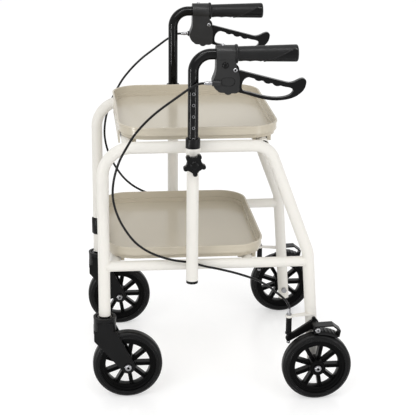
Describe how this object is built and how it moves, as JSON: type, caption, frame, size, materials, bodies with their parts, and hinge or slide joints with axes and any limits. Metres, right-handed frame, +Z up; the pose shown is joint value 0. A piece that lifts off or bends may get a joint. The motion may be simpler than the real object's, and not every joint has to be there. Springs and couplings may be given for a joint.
{
  "type": "indoor walker with trays",
  "caption": "Indoor walker with a bent-tube frame, lift-off serving trays, swivelling front wheels, height-adjustable handles and hand-operated rear brakes.",
  "frame": {"origin": "middle of the footprint, on the floor", "axes": "+X to the rear, towards the user; +Y to the user's right; +Z up"},
  "size_m": [0.556, 0.5796, 0.7805],
  "materials": {
    "cream_enamel": "gloss",
    "black_plastic": "satin",
    "black_lever": "satin",
    "black_enamel": "gloss",
    "black_rubber": "matt",
    "tyre": "matt",
    "bright_steel": "satin",
    "tray_beige": "gloss"
  },
  "bodies": {
    "frame": {"left_side_frame": "cream_enamel", "right_side_frame": "cream_enamel", "left_lower_rail": "cream_enamel", "right_lower_rail": "cream_enamel", "front_upper_cross_tube": "cream_enamel", "rear_upper_cross_tube": "cream_enamel", "front_lower_cross_tube": "cream_enamel", "rear_lower_cross_tube": "cream_enamel", "left_handle_socket": "cream_enamel", "right_handle_socket": "cream_enamel", "socket_collars": "black_plastic", "socket_end_caps": "black_plastic", "rear_leg_plugs": "black_plastic", "caster_sockets": "bright_steel", "caster_pins": "bright_steel", "rear_axles": "bright_steel", "brake_brackets": "cream_enamel", "brake_pivots": "bright_steel", "cable_adjusters": "bright_steel", "right_leg_sleeve": "black_plastic", "left_brake_cable": "black_rubber", "right_brake_cable": "black_rubber", "left_brake_spring": "black_enamel", "right_brake_spring": "black_enamel", "left_brake_wire": "bright_steel", "right_brake_wire": "bright_steel"},
    "left_handle": {"left_handle_tube": "black_enamel", "left_grip": "black_rubber", "left_lever_housing": "black_plastic", "left_lever_fixings": "bright_steel"},
    "left_brake_lever": {"left_brake_lever": "black_lever"},
    "left_knob": {"left_star_knob": "black_plastic", "left_knob_screw": "bright_steel"},
    "left_caster": {"left_caster_fork": "black_plastic", "left_front_axle": "bright_steel"},
    "left_front_wheel": {"left_front_wheel": "black_plastic", "left_front_tyre": "tyre"},
    "left_rear_wheel": {"left_rear_wheel": "black_plastic", "left_rear_tyre": "tyre"},
    "left_brake_arm": {"left_brake_arm": "black_enamel", "left_brake_pad": "black_rubber"},
    "right_handle": {"right_handle_tube": "black_enamel", "right_grip": "black_rubber", "right_lever_housing": "black_plastic", "right_lever_fixings": "bright_steel"},
    "right_brake_lever": {"right_brake_lever": "black_lever"},
    "right_knob": {"right_star_knob": "black_plastic", "right_knob_screw": "bright_steel"},
    "right_caster": {"right_caster_fork": "black_plastic", "right_front_axle": "bright_steel"},
    "right_front_wheel": {"right_front_wheel": "black_plastic", "right_front_tyre": "tyre"},
    "right_rear_wheel": {"right_rear_wheel": "black_plastic", "right_rear_tyre": "tyre"},
    "right_brake_arm": {"right_brake_arm": "black_enamel", "right_brake_pad": "black_rubber"},
    "upper_tray": {"upper_tray": "tray_beige"},
    "lower_tray": {"lower_tray": "tray_beige"}
  },
  "joints": [
    {"name": "left_caster_swivel", "type": "hinge", "parent": "frame", "child": "left_caster", "pos_m": [-0.251, -0.205, 0.17], "axis": [0, 0, 1], "continuous": true},
    {"name": "left_front_wheel_spin", "type": "hinge", "parent": "left_caster", "child": "left_front_wheel", "pos_m": [-0.203, -0.205, 0.075], "axis": [0, 1, 0], "continuous": true},
    {"name": "left_rear_wheel_spin", "type": "hinge", "parent": "frame", "child": "left_rear_wheel", "pos_m": [0.203, -0.251, 0.075], "axis": [0, 1, 0], "continuous": true},
    {"name": "left_handle_slide", "type": "slide", "parent": "frame", "child": "left_handle", "axis": [0, 0, 1], "range_m": [-0.1175, 0.0705], "deforming": ["left_brake_cable"]},
    {"name": "left_knob_turn", "type": "hinge", "parent": "frame", "child": "left_knob", "pos_m": [-0.068, -0.27, 0.54], "axis": [0, -1, 0], "range_deg": [0, 360]},
    {"name": "left_lever_squeeze", "type": "hinge", "parent": "left_handle", "child": "left_brake_lever", "pos_m": [0.015, -0.248, 0.73], "axis": [0, -1, 0], "range_deg": [0, 15], "stiffness_Nm_per_rad": 2, "springref_deg": -14.32},
    {"name": "left_brake_turn", "type": "hinge", "parent": "frame", "child": "left_brake_arm", "pos_m": [0.201, -0.2235, 0.162], "axis": [0, 1, 0], "range_deg": [0, 2.5], "deforming": ["left_brake_spring", "left_brake_wire"]},
    {"name": "right_caster_swivel", "type": "hinge", "parent": "frame", "child": "right_caster", "pos_m": [-0.251, 0.205, 0.17], "axis": [0, 0, 1], "continuous": true},
    {"name": "right_front_wheel_spin", "type": "hinge", "parent": "right_caster", "child": "right_front_wheel", "pos_m": [-0.203, 0.205, 0.075], "axis": [0, 1, 0], "continuous": true},
    {"name": "right_rear_wheel_spin", "type": "hinge", "parent": "frame", "child": "right_rear_wheel", "pos_m": [0.203, 0.251, 0.075], "axis": [0, 1, 0], "continuous": true},
    {"name": "right_handle_slide", "type": "slide", "parent": "frame", "child": "right_handle", "axis": [0, 0, 1], "range_m": [-0.1175, 0.0705], "deforming": ["right_brake_cable"]},
    {"name": "right_knob_turn", "type": "hinge", "parent": "frame", "child": "right_knob", "pos_m": [-0.068, 0.27, 0.54], "axis": [0, 1, 0], "range_deg": [0, 360]},
    {"name": "right_lever_squeeze", "type": "hinge", "parent": "right_handle", "child": "right_brake_lever", "pos_m": [0.015, 0.248, 0.73], "axis": [0, -1, 0], "range_deg": [0, 15], "stiffness_Nm_per_rad": 2, "springref_deg": -14.32},
    {"name": "right_brake_turn", "type": "hinge", "parent": "frame", "child": "right_brake_arm", "pos_m": [0.201, 0.2235, 0.162], "axis": [0, 1, 0], "range_deg": [0, 2.5], "deforming": ["right_brake_spring", "right_brake_wire"]},
    {"name": "upper_tray_lift", "type": "slide", "parent": "frame", "child": "upper_tray", "axis": [0, 0, 1], "range_m": [0, 0.06]},
    {"name": "lower_tray_lift", "type": "slide", "parent": "frame", "child": "lower_tray", "axis": [0, 0, 1], "range_m": [0, 0.06]}
  ],
  "couplings": [
    {"joint": "left_brake_turn", "follows": "left_lever_squeeze", "ratio": 0.16667},
    {"joint": "right_brake_turn", "follows": "right_lever_squeeze", "ratio": 0.16667}
  ]
}
